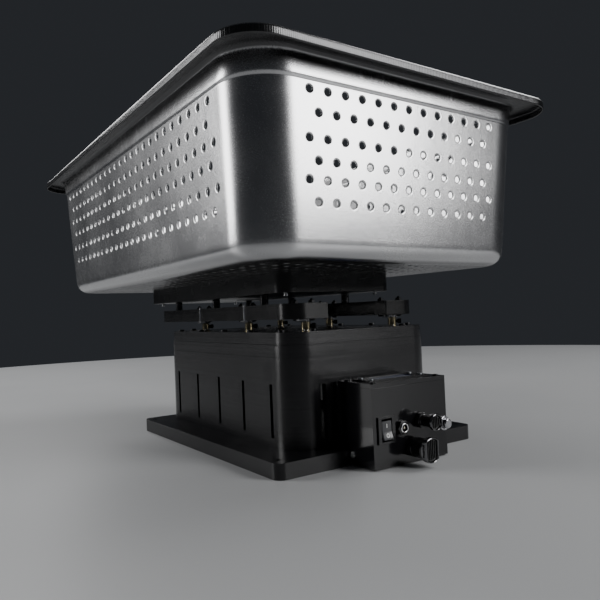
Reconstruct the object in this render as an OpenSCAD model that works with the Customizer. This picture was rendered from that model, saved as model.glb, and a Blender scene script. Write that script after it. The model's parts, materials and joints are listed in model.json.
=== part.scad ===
// Orbital shaker base carrying a full-size perforated food pan.
// Millimetres, +Z up, front (control box side) towards -Y.
// Origin: middle of the overall footprint, on the table.

/* [Pan] */
// Rim length along Y
pan_len = 530; // [450:1:600]
// Rim width along X
pan_wid = 325; // [280:1:360]
// Depth from the rim's top to the outside of the bottom
pan_depth = 142; // [100:1:200]
// Sheet thickness
pan_sheet = 1.2; // [0.8:0.1:2]
// Body length just under the rim
pan_body_len = 485; // [400:1:520]
// Body width just under the rim
pan_body_wid = 287.3; // [240:0.1:320]
// Inward slope of each wall, from rim to bottom
pan_draft = 8.2; // [0:0.1:15]
// Vertical corner radius of the body
pan_corner_r = 35; // [20:1:60]
// Rounding between the walls and the bottom
pan_bottom_r = 13; // [6:1:25]
// Height of the turned-down lip round the rim
pan_lip = 8.6; // [4:0.2:15]
// Gap left under the pan so that it lifts off freely
pan_gap = 0.3; // [0.1:0.1:1]

/* [Base] */
// Flange width along X
flange_wid = 221.5; // [180:0.5:260]
// Flange length along Y
flange_len = 286; // [240:1:330]
// Flange thickness
flange_thk = 13; // [6:0.5:20]
// Flange corner radius
flange_r = 8; // [2:1:20]
// Fixing hole radius in the flange
flange_hole_r = 2.75; // [2:0.25:5]
// Fixing hole spacing along X
flange_hole_x = 204.5; // [160:0.5:240]
// Fixing hole spacing along Y
flange_hole_y = 260; // [200:1:300]
// Housing width along X
house_wid = 164.4; // [120:0.2:200]
// Housing length along Y
house_len = 259.4; // [200:0.2:300]
// Housing vertical corner radius
house_r = 23; // [8:1:40]
// Housing wall thickness
house_wall = 4; // [2:0.5:6]
// Height of the seam between housing and lid
seam_z = 100.7; // [80:0.1:120]
// Height of the lid's upper face
lid_top = 111.3; // [90:0.1:130]

/* [Vents] */
// Side vent slot width
side_slot_w = 4.5; // [2:0.5:8]
// Side vent slot pitch along Y
side_slot_pitch = 49; // [30:1:60]
// Vent slots start this far above the table
slot_low = 21; // [15:1:40]
// Vent slots end this far above the table
slot_high = 67; // [50:1:90]
// End grille slot width
end_slot_w = 6.5; // [3:0.5:8]
// End grille pitch along X
end_slot_pitch = 11.2; // [8:0.1:14]

/* [Orbit drive] */
// Orbit radius: how far each crank pin stands off its shaft
orbit_r = 3; // [1:0.5:4]
// Crank shaft radius
shaft_r = 2.5; // [2:0.5:4]
// Crank pin radius
pin_r = 6; // [5:0.5:8]
// Crank spacing along X
crank_dx = 104; // [80:1:120]
// Crank spacing along Y
crank_dy = 102; // [80:1:110]
// Radial clearance of a running fit
run_clear = 0.05; // [0.02:0.01:0.1]

/* [Stage] */
// Height of the carrier frame's underside
frame_low = 122; // [118:0.5:130]
// Height of the carrier frame's upper face
frame_top = 135.7; // [130:0.1:142]
// Width of each long rail of the carrier frame
rail_wid = 40; // [32:1:50]
// Height of the top plate's underside
plate_low = 145.5; // [140:0.5:155]
// Height of the top plate's upper face
plate_top = 163; // [150:0.5:175]
// Top plate width along X
plate_wid = 129; // [100:1:160]
// Top plate length along Y
plate_len = 313; // [200:1:360]

/* [Control box] */
// Box width along X
box_wid = 83.5; // [60:0.5:120]
// Box height above the table
box_top = 68.6; // [50:0.2:100]
// Box wall thickness
box_wall = 2.5; // [1.5:0.5:4]

/* [Hidden] */
$fn = 48;
base_x = 20.4;
base_y = -34;
house_y = -26.9;
crank_x = 28;
crank_y = -25;
frame_x = 25;
frame_y = 6;
frame_wid = 150;
frame_len = 296;
plate_x = 14.5;
plate_y = 26.5;
pan_z = plate_top + pan_gap;
rim_top = pan_z + pan_depth;
box_x = 22.75;
box_front = -206;
box_back = house_y - house_len / 2 - 0.1;
box_low = 1;
box_seam = box_top - 3.4;
box_lid_back = -163.5;
box_hollow_back = box_lid_back - 2.5;
box_screw_inset = 5.5;
side_screw_at = [-180.4, 9.5];
crank_pos = [for (i = [0:1]) for (j = [-1:1]) [crank_x + (i - 0.5) * crank_dx, crank_y + j * crank_dy]];
driver = 1;
post_pos = [for (x = [-33, 66]) for (y = [-72, 30, 132]) [x, y]];
peg_pos = [for (x = [-38, 67]) for (y = [-118, 171]) [x, y]];
dowel_pos = [-62, 36];
rocker_at = [-5.4, 31.2];
jack_at = [11.5, 30.9];
speed_at = [23.5, 13.8];
timer_at = [32.7, 34.4];
button_at = [54, 29.5];
screw_inset = 8;
groove_z = 89.8;

// ---------- shared shapes ----------

// Flat rounded rectangle centred on the origin.
module rounded(x, y, r) {
    square([x - 2 * r, y], center = true);
    square([x, y - 2 * r], center = true);
    for (i = [-1, 1])
        for (j = [-1, 1])
            translate([i * (x / 2 - r), j * (y / 2 - r)])
                circle(r = r);
}

// Rounded slab from z0 to z1.
module slab(x, y, r, z0, z1) {
    translate([0, 0, z0])
        linear_extrude(height = z1 - z0)
            rounded(x, y, r);
}

// Upright cylinder from z0 to z1.
module post(r, z0, z1) {
    translate([0, 0, z0])
        cylinder(r = r, h = z1 - z0);
}

// Cylinder along -Y that starts at y0 and ends at y1, where y1 < y0.
module rod_y(r, y0, y1) {
    translate([0, y0, 0])
        rotate([90, 0, 0])
            cylinder(r = r, h = y0 - y1);
}

// Places children at [x, z] on the control panel.
module on_panel(p) {
    translate([p[0], 0, p[1]])
        children();
}

// Positions of the screws that hold the lid.
lid_half_x = house_wid / 2 - screw_inset;
lid_half_y = house_len / 2 - screw_inset;
lid_screw_pos = concat(
    [for (i = [-1, 1]) for (j = [-2:2]) [i * lid_half_x, j * (lid_half_y - 16) / 2]],
    [for (i = [-1, 1]) for (j = [-1, 1]) [i * (lid_half_x - 22), j * lid_half_y]]);
foot_screw_pos = [for (i = [-1, 1]) for (j = [-1:1]) [i * (house_wid / 2 - 8), j * (lid_half_y - 16)]];

// ---------- base ----------

module base_plate() {
    color([0.06, 0.06, 0.065])
    difference() {
        translate([base_x, base_y, 0])
            slab(flange_wid, flange_len, flange_r, 0, flange_thk);
        for (i = [-1, 1])
            for (j = [-1, 1])
                translate([base_x + i * flange_hole_x / 2, base_y + j * flange_hole_y / 2, -1])
                    cylinder(r = flange_hole_r, h = flange_thk + 2);
        // recess that lets the control box stand on the table
        translate([box_x - box_wid / 2 - 0.3, box_front, -1])
            cube([box_wid + 0.6, box_back - box_front + 0.2, flange_thk + 2]);
        for (p = foot_screw_pos)
            translate([base_x + p[0], house_y + p[1], 0]) {
                post(1.6, -1, flange_thk + 1);
                post(3.2, -1, 3.4);
            }
    }
}

module housing_screws() {
    color([0.12, 0.12, 0.13])
    for (p = foot_screw_pos)
        translate([base_x + p[0], house_y + p[1], 0]) {
            post(3, 1, 3.3);
            post(1.5, 3.2, 24);
        }
}

module base_housing() {
    color([0.09, 0.09, 0.1])
    difference() {
        translate([base_x, house_y, 0]) {
            difference() {
                slab(house_wid, house_len, house_r, flange_thk, seam_z);
                slab(house_wid - 2 * house_wall, house_len - 2 * house_wall, house_r - house_wall,
                    flange_thk - 1, seam_z + 1);
            }
            for (p = lid_screw_pos)
                translate([p[0], p[1], 0])
                    post(5, seam_z - 16, seam_z);
            for (p = foot_screw_pos)
                translate([p[0], p[1], 0])
                    post(5, flange_thk, flange_thk + 16);
        }
        for (p = lid_screw_pos)
            translate([base_x + p[0], house_y + p[1], 0])
                post(1.6, seam_z - 13, seam_z + 1);
        for (p = foot_screw_pos)
            translate([base_x + p[0], house_y + p[1], 0])
                post(1.6, flange_thk - 1, flange_thk + 13);
        // shallow groove under the lid's seam
        translate([base_x, house_y, 0])
            difference() {
                slab(house_wid + 2, house_len + 2, house_r + 1, groove_z, groove_z + 0.8);
                slab(house_wid - 1, house_len - 1, house_r - 0.5, groove_z - 1, groove_z + 2);
            }
        // long side vents
        for (j = [-2:2])
            translate([base_x - house_wid / 2 - 1, house_y + j * side_slot_pitch - side_slot_w / 2, slot_low])
                cube([house_wid + 2, side_slot_w, slot_high - slot_low]);
        // end grilles
        for (k = [-4.5:4.5])
            translate([base_x + k * end_slot_pitch - end_slot_w / 2, house_y - house_len / 2 - 1, slot_low])
                cube([end_slot_w, house_len + 2, slot_high - slot_low]);
    }
}

module base_lid() {
    color([0.1, 0.1, 0.11])
    difference() {
        translate([base_x, house_y, 0])
            slab(house_wid - 1.6, house_len - 1.6, house_r - 0.8, seam_z, lid_top);
        for (p = lid_screw_pos)
            translate([base_x + p[0], house_y + p[1], 0])
                post(1.7, seam_z - 1, lid_top + 1);
        for (n = [0:5])
            translate([crank_pos[n][0], crank_pos[n][1], 0]) {
                post(8, lid_top - 5, lid_top + 1);
                post(6, seam_z - 1, lid_top + 1);
                if (n != driver)
                    post(8, seam_z - 1, seam_z + 5);
            }
        for (a = [45:90:315])
            translate([crank_pos[driver][0], crank_pos[driver][1], 0])
                rotate([0, 0, a])
                    translate([14, 0, 0]) {
                        post(1.7, seam_z - 1, lid_top + 1);
                        post(3.1, lid_top - 3, lid_top + 1);
                    }
    }
}

module lid_screws() {
    color([0.05, 0.05, 0.05])
    for (p = lid_screw_pos)
        translate([base_x + p[0], house_y + p[1], 0]) {
            post(3.2, lid_top, lid_top + 2);
            post(1.5, seam_z - 11, lid_top + 0.5);
        }
}

module bearing(inner, outer, z0, z1) {
    difference() {
        post(outer, z0, z1);
        post(inner, z0 - 1, z1 + 1);
    }
}

module lid_bearings() {
    color([0.75, 0.75, 0.77])
    for (n = [0:5])
        translate([crank_pos[n][0], crank_pos[n][1], 0]) {
            bearing(shaft_r + run_clear, 8, lid_top - 5, lid_top);
            if (n != driver)
                bearing(shaft_r + run_clear, 8, seam_z, seam_z + 5);
        }
}

module motor_gearbox() {
    color([0.72, 0.72, 0.74])
    translate([crank_pos[driver][0], crank_pos[driver][1], 0])
        difference() {
            post(18.5, seam_z - 26, seam_z);
            post(shaft_r + run_clear, seam_z - 20, seam_z + 1);
            for (a = [45:90:315])
                rotate([0, 0, a])
                    translate([14, 0, 0])
                        post(1.6, seam_z - 6, seam_z + 1);
        }
}

module motor_can() {
    color([0.35, 0.36, 0.38])
    translate([crank_pos[driver][0], crank_pos[driver][1], 0]) {
        post(17.5, seam_z - 66, seam_z - 26);
        post(6, seam_z - 69, seam_z - 66);
    }
}

module motor_screws() {
    color([0.2, 0.2, 0.21])
    translate([crank_pos[driver][0], crank_pos[driver][1], 0])
        for (a = [45:90:315])
            rotate([0, 0, a])
                translate([14, 0, 0]) {
                    post(2.8, lid_top - 3, lid_top - 0.6);
                    post(1.5, seam_z - 5, lid_top - 2);
                }
}

// ---------- orbit drive ----------

// One turned crank: the lower end runs in the lid, the offset pin in the carrier frame.
module crank(n) {
    low = n == driver ? seam_z - 18 : seam_z - 1.5;
    translate([crank_pos[n][0], crank_pos[n][1], 0]) {
        post(shaft_r, low, frame_low - 2.5);
        translate([0, orbit_r, 0]) {
            post(pin_r + 1.4, frame_low - 2.5, frame_low - 0.4);
            post(pin_r, frame_low - 0.4, frame_low + 5.5);
        }
    }
}

module crank_1() { color([0.62, 0.62, 0.64]) crank(0); }
module crank_2() { color([0.62, 0.62, 0.64]) crank(1); }
module crank_3() { color([0.62, 0.62, 0.64]) crank(2); }
module crank_4() { color([0.62, 0.62, 0.64]) crank(3); }
module crank_5() { color([0.62, 0.62, 0.64]) crank(4); }
module crank_6() { color([0.62, 0.62, 0.64]) crank(5); }

set_z = lid_top + 4.2;

// Shaft collar with a cross hole for its set screw.
module collar(n) {
    translate([crank_pos[n][0], crank_pos[n][1], 0])
        difference() {
            post(4.2, lid_top + 0.6, frame_low - 3);
            post(shaft_r + 0.02, lid_top, frame_low);
            translate([0, 0, set_z])
                rotate([0, 90, -40])
                    cylinder(r = 1.55, h = 6);
        }
}

module collar_1() { color([0.71, 0.6, 0.33]) collar(0); }
module collar_2() { color([0.71, 0.6, 0.33]) collar(1); }
module collar_3() { color([0.71, 0.6, 0.33]) collar(2); }
module collar_4() { color([0.71, 0.6, 0.33]) collar(3); }
module collar_5() { color([0.71, 0.6, 0.33]) collar(4); }
module collar_6() { color([0.71, 0.6, 0.33]) collar(5); }

// Set screw standing out of the side of its collar.
module set_screw(n) {
    translate([crank_pos[n][0], crank_pos[n][1], set_z])
        rotate([0, 90, -40]) {
            translate([0, 0, shaft_r + 0.1])
                cylinder(r = 1.5, h = 4);
            translate([0, 0, 5.2])
                cylinder(r = 2.4, h = 3.6);
        }
}

module set_screw_1() { color([0.07, 0.07, 0.07]) set_screw(0); }
module set_screw_2() { color([0.07, 0.07, 0.07]) set_screw(1); }
module set_screw_3() { color([0.07, 0.07, 0.07]) set_screw(2); }
module set_screw_4() { color([0.07, 0.07, 0.07]) set_screw(3); }
module set_screw_5() { color([0.07, 0.07, 0.07]) set_screw(4); }
module set_screw_6() { color([0.07, 0.07, 0.07]) set_screw(5); }

// ---------- stage ----------

bearing_screw_dy = 13;

module carrier_frame() {
    notch_wid = frame_wid - 2 * rail_wid;
    color([0.07, 0.07, 0.075])
    difference() {
        translate([frame_x, frame_y, 0])
            difference() {
                slab(frame_wid, frame_len, 18, frame_low, frame_top);
                for (s = [-1, 1])
                    translate([0, s * (frame_len / 2 + 2), (frame_low + frame_top) / 2])
                        cube([notch_wid, frame_len - 60, frame_top], center = true);
            }
        for (n = [0:5])
            translate([crank_pos[n][0], crank_pos[n][1] + orbit_r, 0]) {
                post(10.5, frame_low - 1, frame_low + 5);
                post(8, frame_low, frame_top + 1);
                for (s = [-1, 1])
                    translate([0, s * bearing_screw_dy, 0])
                        post(1.6, frame_low - 1, frame_top + 1);
            }
        for (p = post_pos)
            translate([p[0], p[1], 0])
                post(1.8, frame_low + 2, frame_top + 1);
        for (y = dowel_pos)
            translate([frame_x - frame_wid / 2 + 0.4, y, 0])
                post(1.4, frame_low - 1, frame_top + 1);
    }
}

module frame_bearings() {
    color([0.75, 0.75, 0.77])
    for (n = [0:5])
        translate([crank_pos[n][0], crank_pos[n][1] + orbit_r, 0])
            bearing(pin_r + run_clear, 10.5, frame_low, frame_low + 5);
}

module bearing_screws() {
    color([0.1, 0.1, 0.1])
    for (n = [0:5])
        for (s = [-1, 1])
            translate([crank_pos[n][0], crank_pos[n][1] + orbit_r + s * bearing_screw_dy, 0]) {
                post(2.8, frame_low - 1.8, frame_low);
                post(1.5, frame_low - 0.5, frame_top + 4);
            }
}

module bearing_nuts() {
    color([0.6, 0.6, 0.62])
    for (n = [0:5])
        for (s = [-1, 1])
            translate([crank_pos[n][0], crank_pos[n][1] + orbit_r + s * bearing_screw_dy, frame_top])
                difference() {
                    cylinder(r = 3.1, h = 2.4, $fn = 6);
                    translate([0, 0, -1])
                        cylinder(r = 1.55, h = 5);
                }
}

module frame_dowels() {
    color([0.85, 0.85, 0.86])
    for (y = dowel_pos)
        translate([frame_x - frame_wid / 2 + 0.4, y, 0])
            post(1.35, frame_low - 1.2, frame_top + 1.4);
}

module stage_posts() {
    color([0.06, 0.06, 0.06])
    for (p = post_pos)
        translate([p[0], p[1], 0])
            bearing(2.1, 4, frame_top, plate_low);
}

module post_screws() {
    color([0.68, 0.68, 0.7])
    for (p = post_pos)
        translate([p[0], p[1], 0]) {
            post(1.75, frame_low + 4, plate_top - 3);
            post(3.4, plate_top - 4, plate_top - 0.8);
        }
}

module top_plate() {
    color([0.06, 0.06, 0.065])
    difference() {
        translate([plate_x, plate_y, 0])
            slab(plate_wid, plate_len, 12.5, plate_low, plate_top);
        for (p = post_pos)
            translate([p[0], p[1], 0]) {
                post(2.1, plate_low - 1, plate_top + 1);
                post(3.6, plate_top - 4.2, plate_top + 1);
            }
        for (p = peg_pos)
            translate([p[0], p[1], 0])
                post(2.05, plate_low - 1, plate_top + 1);
    }
}

// Threaded pegs: upper ends locate the pan by its bottom perforations.
module pan_pegs() {
    color([0.55, 0.55, 0.57])
    for (p = peg_pos)
        translate([p[0], p[1], 0])
            post(2, plate_low - 3, plate_top + 4);
}

// ---------- pan ----------

// Tapered tub, drawn solid; inset shrinks it to give the inside.
module pan_tub(inset) {
    low = pan_z + inset;
    bx = pan_body_wid - 2 * pan_draft - 2 * inset;
    by = pan_body_len - 2 * pan_draft - 2 * inset;
    r = pan_corner_r - inset;
    b = pan_bottom_r - inset;
    hull() {
        slab(bx - 2 * b, by - 2 * b, r - b, low, low + 0.2);
        slab(bx - 0.8 * b, by - 0.8 * b, r - 0.4 * b, low + 0.2 * b, low + 0.2 * b + 0.2);
        slab(bx, by, r, low + b, low + b + 0.2);
        slab(pan_body_wid - 2 * inset, pan_body_len - 2 * inset, r, rim_top - 0.2, rim_top + inset);
    }
}

module perforated_pan() {
    color([0.78, 0.78, 0.8])
    difference() {
        union() {
            pan_tub(0);
            slab(pan_wid, pan_len, 32, rim_top - pan_lip, rim_top);
        }
        pan_tub(pan_sheet);
        // hollow under the rim, inside the turned-down lip
        difference() {
            slab(pan_wid - 2 * pan_sheet, pan_len - 2 * pan_sheet, 32 - pan_sheet,
                rim_top - pan_lip - 1, rim_top - pan_sheet);
            slab(pan_body_wid - 0.6, pan_body_len - 0.6, pan_corner_r - 0.3,
                rim_top - pan_lip - 2, rim_top + 1);
        }
        for (p = peg_pos)
            translate([p[0], p[1], 0])
                post(3, pan_z - 1, pan_z + 5);
    }
}

// ---------- control box ----------

// Block under or in the control box, from the front to y_back.
module box_block(inset, y_back, z0, z1) {
    translate([box_x - box_wid / 2 + inset, box_front + inset, z0])
        cube([box_wid - 2 * inset, y_back - box_front - inset, z1 - z0]);
}

// Places children at the four screws of the control box's lid.
module at_box_screws() {
    for (s = [-1, 1])
        for (y = [box_front + box_screw_inset, box_lid_back - box_screw_inset])
            translate([box_x + s * (box_wid / 2 - box_screw_inset), y, 0])
                children();
}

// Through hole in the front panel.
module panel_hole(p, r) {
    on_panel(p)
        rod_y(r, box_front + box_wall + 1, box_front - 1);
}

module box_shell() {
    color([0.08, 0.08, 0.085])
    difference() {
        box_block(0, box_back, box_low, box_seam);
        box_block(box_wall, box_hollow_back, box_low + box_wall, box_seam + 1);
        on_panel(rocker_at)
            translate([-6.7, box_front - 1, -9.8])
                cube([13.4, box_wall + 2, 19.6]);
        panel_hole(jack_at, 4.05);
        panel_hole(speed_at, 3.55);
        panel_hole(timer_at, 3.55);
        panel_hole(button_at, 4.95);
        // cable way into the housing
        translate([box_x, 0, 40])
            rod_y(6, box_back + 1, box_hollow_back - 1);
        for (s = [-1, 1])
            translate([box_x + s * box_wid / 2, side_screw_at[0], side_screw_at[1]])
                rotate([0, 90, 0])
                    cylinder(r = 1.6, h = 8, center = true);
    }
    color([0.08, 0.08, 0.085])
    at_box_screws()
        difference() {
            post(3.6, box_seam - 14, box_seam);
            post(1.3, box_seam - 10, box_seam + 1);
        }
    // posts that carry the circuit board
    color([0.08, 0.08, 0.085])
    for (x = [box_x - 27, box_x + 27])
        for (y = [-184, -172])
            translate([x, y, 0])
                post(2, box_low + 1, 44);
}

display_at = [23, -183.3];
bezel_size = [66, 24];
window_size = [44, 17];
window_dx = 0.5;

module box_lid() {
    color([0.08, 0.08, 0.085])
    difference() {
        box_block(0, box_lid_back, box_seam, box_top);
        translate([display_at[0] + window_dx - 24, display_at[1] - 10, box_seam - 1])
            cube([48, 20, 6]);
        for (i = [-1, 1])
            for (j = [-1, 1])
                translate([display_at[0] + i * 28, display_at[1] + j * 6.45, 0])
                    post(1.25, box_seam - 1, box_top + 1);
        at_box_screws()
            post(1.7, box_seam - 1, box_top + 1);
    }
}

module box_lid_screws() {
    color([0.06, 0.06, 0.06])
    at_box_screws() {
        post(2.4, box_top, box_top + 1);
        post(1.25, box_seam - 8, box_top + 0.5);
    }
}

module box_side_screws() {
    color([0.65, 0.65, 0.67])
    for (s = [-1, 1])
        translate([box_x + s * box_wid / 2, side_screw_at[0], side_screw_at[1]])
            rotate([0, s * 90, 0]) {
                cylinder(r = 2.7, h = 1.8);
                translate([0, 0, -6])
                    cylinder(r = 1.5, h = 7);
            }
}

// Frame on the lid, with its skirt down in the lid's opening.
module display_bezel() {
    color([0.12, 0.12, 0.13])
    translate([display_at[0], display_at[1], box_top])
        difference() {
            union() {
                translate([window_dx - 23.8, -9.8, -2.4])
                    cube([47.6, 19.6, 2.5]);
                translate([-bezel_size[0] / 2, -bezel_size[1] / 2, 0])
                    cube([bezel_size[0], bezel_size[1], 1.2]);
            }
            translate([window_dx - window_size[0] / 2, -window_size[1] / 2, -3])
                cube([window_size[0], window_size[1], 6]);
            for (i = [-1, 1])
                for (j = [-1, 1])
                    translate([i * 28, j * 6.45, -1])
                        cylinder(r = 1.3, h = 4);
        }
}

module bezel_screws() {
    color([0.8, 0.8, 0.82])
    for (i = [-1, 1])
        for (j = [-1, 1])
            translate([display_at[0] + i * 28, display_at[1] + j * 6.45, box_top]) {
                post(2.3, 1.2, 2.2);
                post(1.2, -2.6, 1.4);
            }
}

module display_window() {
    color([0.35, 0.42, 0.6, 0.6])
    translate([display_at[0] + window_dx, display_at[1], box_top])
        translate([0.1 - window_size[0] / 2, 0.1 - window_size[1] / 2, -0.6])
            cube([window_size[0] - 0.2, window_size[1] - 0.2, 1.5]);
}

module display_module() {
    color([0.1, 0.25, 0.5])
    translate([display_at[0] + window_dx, display_at[1], box_top]) {
        translate([-21, -7.6, -2.4])
            cube([42, 15.2, 1.6]);
        translate([-23.5, -9.5, -4])
            cube([47, 19, 1.6]);
        translate([-18, -7, -8])
            cube([30, 12, 4]);
    }
}

module control_board() {
    color([0.05, 0.3, 0.15])
    translate([box_x, -178, 0]) {
        translate([-30, -10, 44])
            cube([60, 20, 1.6]);
        translate([-24, -7, 45.6])
            cube([14, 14, 8]);
        translate([0, -6, 45.6])
            cube([10, 10, 3]);
        translate([20, 0, 45.6])
            cylinder(r = 4, h = 10);
    }
}

module switch_bezel() {
    color([0.04, 0.04, 0.04])
    on_panel(rocker_at)
        difference() {
            union() {
                translate([-9, box_front - 1.5, -10.9])
                    cube([18, 1.5, 21.8]);
                translate([-6.6, box_front - 0.5, -9.7])
                    cube([13.2, 13, 19.4]);
            }
            translate([-5.5, box_front - 3, -9.1])
                cube([11, 11, 18.2]);
            rotate([0, 90, 0])
                translate([0, box_front + 1.5, -8])
                    cylinder(r = 1 + run_clear, h = 16);
        }
}

// Rocker with its lower half standing out; pivots on side pins.
module power_rocker() {
    color([0.55, 0.55, 0.57])
    on_panel(rocker_at)
        translate([0, box_front + 1.5, 0])
            rotate([0, 90, 0]) {
                translate([0, 0, -5])
                    linear_extrude(height = 10)
                        polygon([[-7.5, -2.7], [0, -2.7], [7.5, -5.1], [6.8, -1],
                            [3.4, 3], [-3.4, 3], [-6.8, -1]]);
                translate([0, 0, -6.3])
                    cylinder(r = 1, h = 12.6);
            }
}

module jack_body() {
    color([0.8, 0.8, 0.82])
    on_panel(jack_at)
        difference() {
            union() {
                rod_y(4, box_front + box_wall + 4, box_front - 4.2);
                rod_y(5.6, box_front + box_wall + 4, box_front + box_wall);
            }
            rod_y(2.8, box_front + 4, box_front - 6);
        }
}

module jack_pin() {
    color([0.75, 0.68, 0.4])
    on_panel(jack_at)
        rod_y(1, box_front + 4, box_front - 3.4);
}

module jack_nut() {
    color([0.05, 0.05, 0.05])
    on_panel(jack_at)
        difference() {
            translate([0, box_front, 0])
                rotate([90, 0, 0])
                    cylinder(r = 6.2, h = 3.2, $fn = 6);
            rod_y(4.05, box_front + 1, box_front - 5);
        }
}

module potentiometer() {
    difference() {
        union() {
            rod_y(8, box_front + box_wall + 9, box_front + box_wall);
            rod_y(3.5, box_front + box_wall + 1, box_front - 3.8);
        }
        rod_y(3 + run_clear, box_front + box_wall + 7, box_front - 5);
    }
}

module potentiometers() {
    color([0.3, 0.31, 0.33])
    for (p = [speed_at, timer_at])
        on_panel(p)
            potentiometer();
}

module pot_nuts() {
    color([0.72, 0.72, 0.74])
    for (p = [speed_at, timer_at])
        on_panel(p)
            difference() {
                translate([0, box_front, 0])
                    rotate([90, 0, 0])
                        cylinder(r = 5.4, h = 2.4, $fn = 6);
                rod_y(3.52, box_front + 1, box_front - 4);
            }
}

module speed_shaft() {
    color([0.75, 0.75, 0.77])
    on_panel(speed_at)
        rod_y(3, box_front + box_wall + 6, box_front - 17);
}

module timer_shaft() {
    color([0.75, 0.75, 0.77])
    on_panel(timer_at)
        rod_y(3, box_front + box_wall + 6, box_front - 15);
}

module speed_knob() {
    color([0.03, 0.03, 0.03])
    on_panel(speed_at)
        difference() {
            union() {
                rod_y(8.2, box_front - 0.6, box_front - 16);
                // flared grip with two flats
                intersection() {
                    rod_y(10.3, box_front - 16, box_front - 22);
                    translate([-7.1, box_front - 23, -11])
                        cube([14.2, 8, 22]);
                }
            }
            rod_y(6.2, box_front + 1, box_front - 5);
            rod_y(3.02, box_front, box_front - 17.2);
        }
}

module timer_knob() {
    color([0.03, 0.03, 0.03])
    on_panel(timer_at)
        difference() {
            union() {
                rod_y(6.6, box_front - 0.6, box_front - 5);
                rod_y(4.8, box_front - 5, box_front - 15);
                rod_y(7, box_front - 15, box_front - 19);
            }
            rod_y(5.9, box_front + 1, box_front - 4.3);
            rod_y(3.02, box_front, box_front - 15.2);
        }
}

module button_body() {
    color([0.82, 0.82, 0.84])
    on_panel(button_at)
        difference() {
            union() {
                rod_y(4.9, box_front + box_wall + 8, box_front - 1);
                rod_y(6, box_front, box_front - 8);
            }
            rod_y(4.1 + run_clear, box_front + box_wall + 6, box_front - 9);
        }
}

module button_cap() {
    color([0.6, 0.6, 0.62])
    on_panel(button_at)
        rod_y(4.1, box_front + box_wall + 2, box_front - 12);
}

// ---------- output ----------

base_plate();
base_housing();
base_lid();
lid_screws();
housing_screws();
lid_bearings();
motor_can();
motor_gearbox();
motor_screws();
box_shell();
box_lid();
box_lid_screws();
box_side_screws();
display_bezel();
bezel_screws();
display_window();
display_module();
control_board();
switch_bezel();
jack_body();
jack_nut();
jack_pin();
potentiometers();
pot_nuts();
button_body();
power_rocker();
speed_knob();
speed_shaft();
timer_knob();
timer_shaft();
button_cap();
crank_1();
crank_2();
crank_3();
crank_4();
crank_5();
crank_6();
collar_1();
collar_2();
collar_3();
collar_4();
collar_5();
collar_6();
set_screw_1();
set_screw_2();
set_screw_3();
set_screw_4();
set_screw_5();
set_screw_6();
carrier_frame();
frame_bearings();
bearing_screws();
bearing_nuts();
frame_dowels();
stage_posts();
post_screws();
top_plate();
pan_pegs();
perforated_pan();
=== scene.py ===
"""Looks for the orbital shaker with its perforated pan. Metres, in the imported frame."""

import json
import math
import random

import bmesh
import bpy
from mathutils import Matrix, Vector
from mathutils.geometry import delaunay_2d_cdt


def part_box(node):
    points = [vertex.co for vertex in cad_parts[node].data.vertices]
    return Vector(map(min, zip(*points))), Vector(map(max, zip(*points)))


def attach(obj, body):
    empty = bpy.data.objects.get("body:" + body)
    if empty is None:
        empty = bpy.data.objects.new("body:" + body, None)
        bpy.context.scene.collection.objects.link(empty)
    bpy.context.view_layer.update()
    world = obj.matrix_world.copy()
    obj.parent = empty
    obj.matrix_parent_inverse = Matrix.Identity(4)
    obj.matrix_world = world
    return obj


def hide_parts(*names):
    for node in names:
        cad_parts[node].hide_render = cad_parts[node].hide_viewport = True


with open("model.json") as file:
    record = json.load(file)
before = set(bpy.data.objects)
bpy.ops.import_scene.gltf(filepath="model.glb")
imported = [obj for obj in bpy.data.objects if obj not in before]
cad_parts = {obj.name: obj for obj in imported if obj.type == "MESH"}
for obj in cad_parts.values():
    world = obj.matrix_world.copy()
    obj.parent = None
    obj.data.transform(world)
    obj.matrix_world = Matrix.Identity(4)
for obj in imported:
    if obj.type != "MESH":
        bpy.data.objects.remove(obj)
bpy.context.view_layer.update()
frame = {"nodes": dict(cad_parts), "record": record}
MM = 0.001
random.seed(7)


# ---------- camera, floor and light ----------

# the photograph's viewpoint: from low down, off the pan's front corner
cam_data = bpy.data.cameras.new("cam")
cam_data.lens = 36.12
cam_data.sensor_width = 36.0
cam = bpy.data.objects.new("cam", cam_data)
bpy.context.scene.collection.objects.link(cam)
right = Vector((0.8241, -0.5650, -0.0400)).normalized()
back = Vector((-0.5660, -0.8241, -0.0206)).normalized()
up = back.cross(right).normalized()
right = up.cross(back).normalized()
turn = Matrix((right, up, back)).transposed().to_4x4()
cam.matrix_world = Matrix.Translation((-0.3314, -0.5669, 0.1276)) @ turn
bpy.context.scene.camera = cam


def nodes_of(mat):
    mat.use_nodes = True
    tree = mat.node_tree
    tree.nodes.clear()
    out = tree.nodes.new("ShaderNodeOutputMaterial")
    bsdf = tree.nodes.new("ShaderNodeBsdfPrincipled")
    tree.links.new(bsdf.outputs[0], out.inputs[0])
    return tree, bsdf


def node(tree, kind, **values):
    n = tree.nodes.new("ShaderNode" + kind)
    for k, v in values.items():
        if k in n.inputs.keys():
            n.inputs[k].default_value = v
        else:
            setattr(n, k, v)
    return n


def coords(tree, scale=(1, 1, 1)):
    c = node(tree, "TexCoord")
    m = node(tree, "Mapping")
    m.inputs["Scale"].default_value = scale
    tree.links.new(c.outputs["Object"], m.inputs["Vector"])
    return m.outputs[0]


def parts(tree, vec):
    """The x, y and z sockets of a vector."""
    sep = node(tree, "SeparateXYZ")
    tree.links.new(vec, sep.inputs[0])
    return sep.outputs


def normal_parts(tree):
    """The x, y and z sockets of the surface's direction in the object's own axes."""
    return parts(tree, node(tree, "TexCoord").outputs["Normal"])


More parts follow.
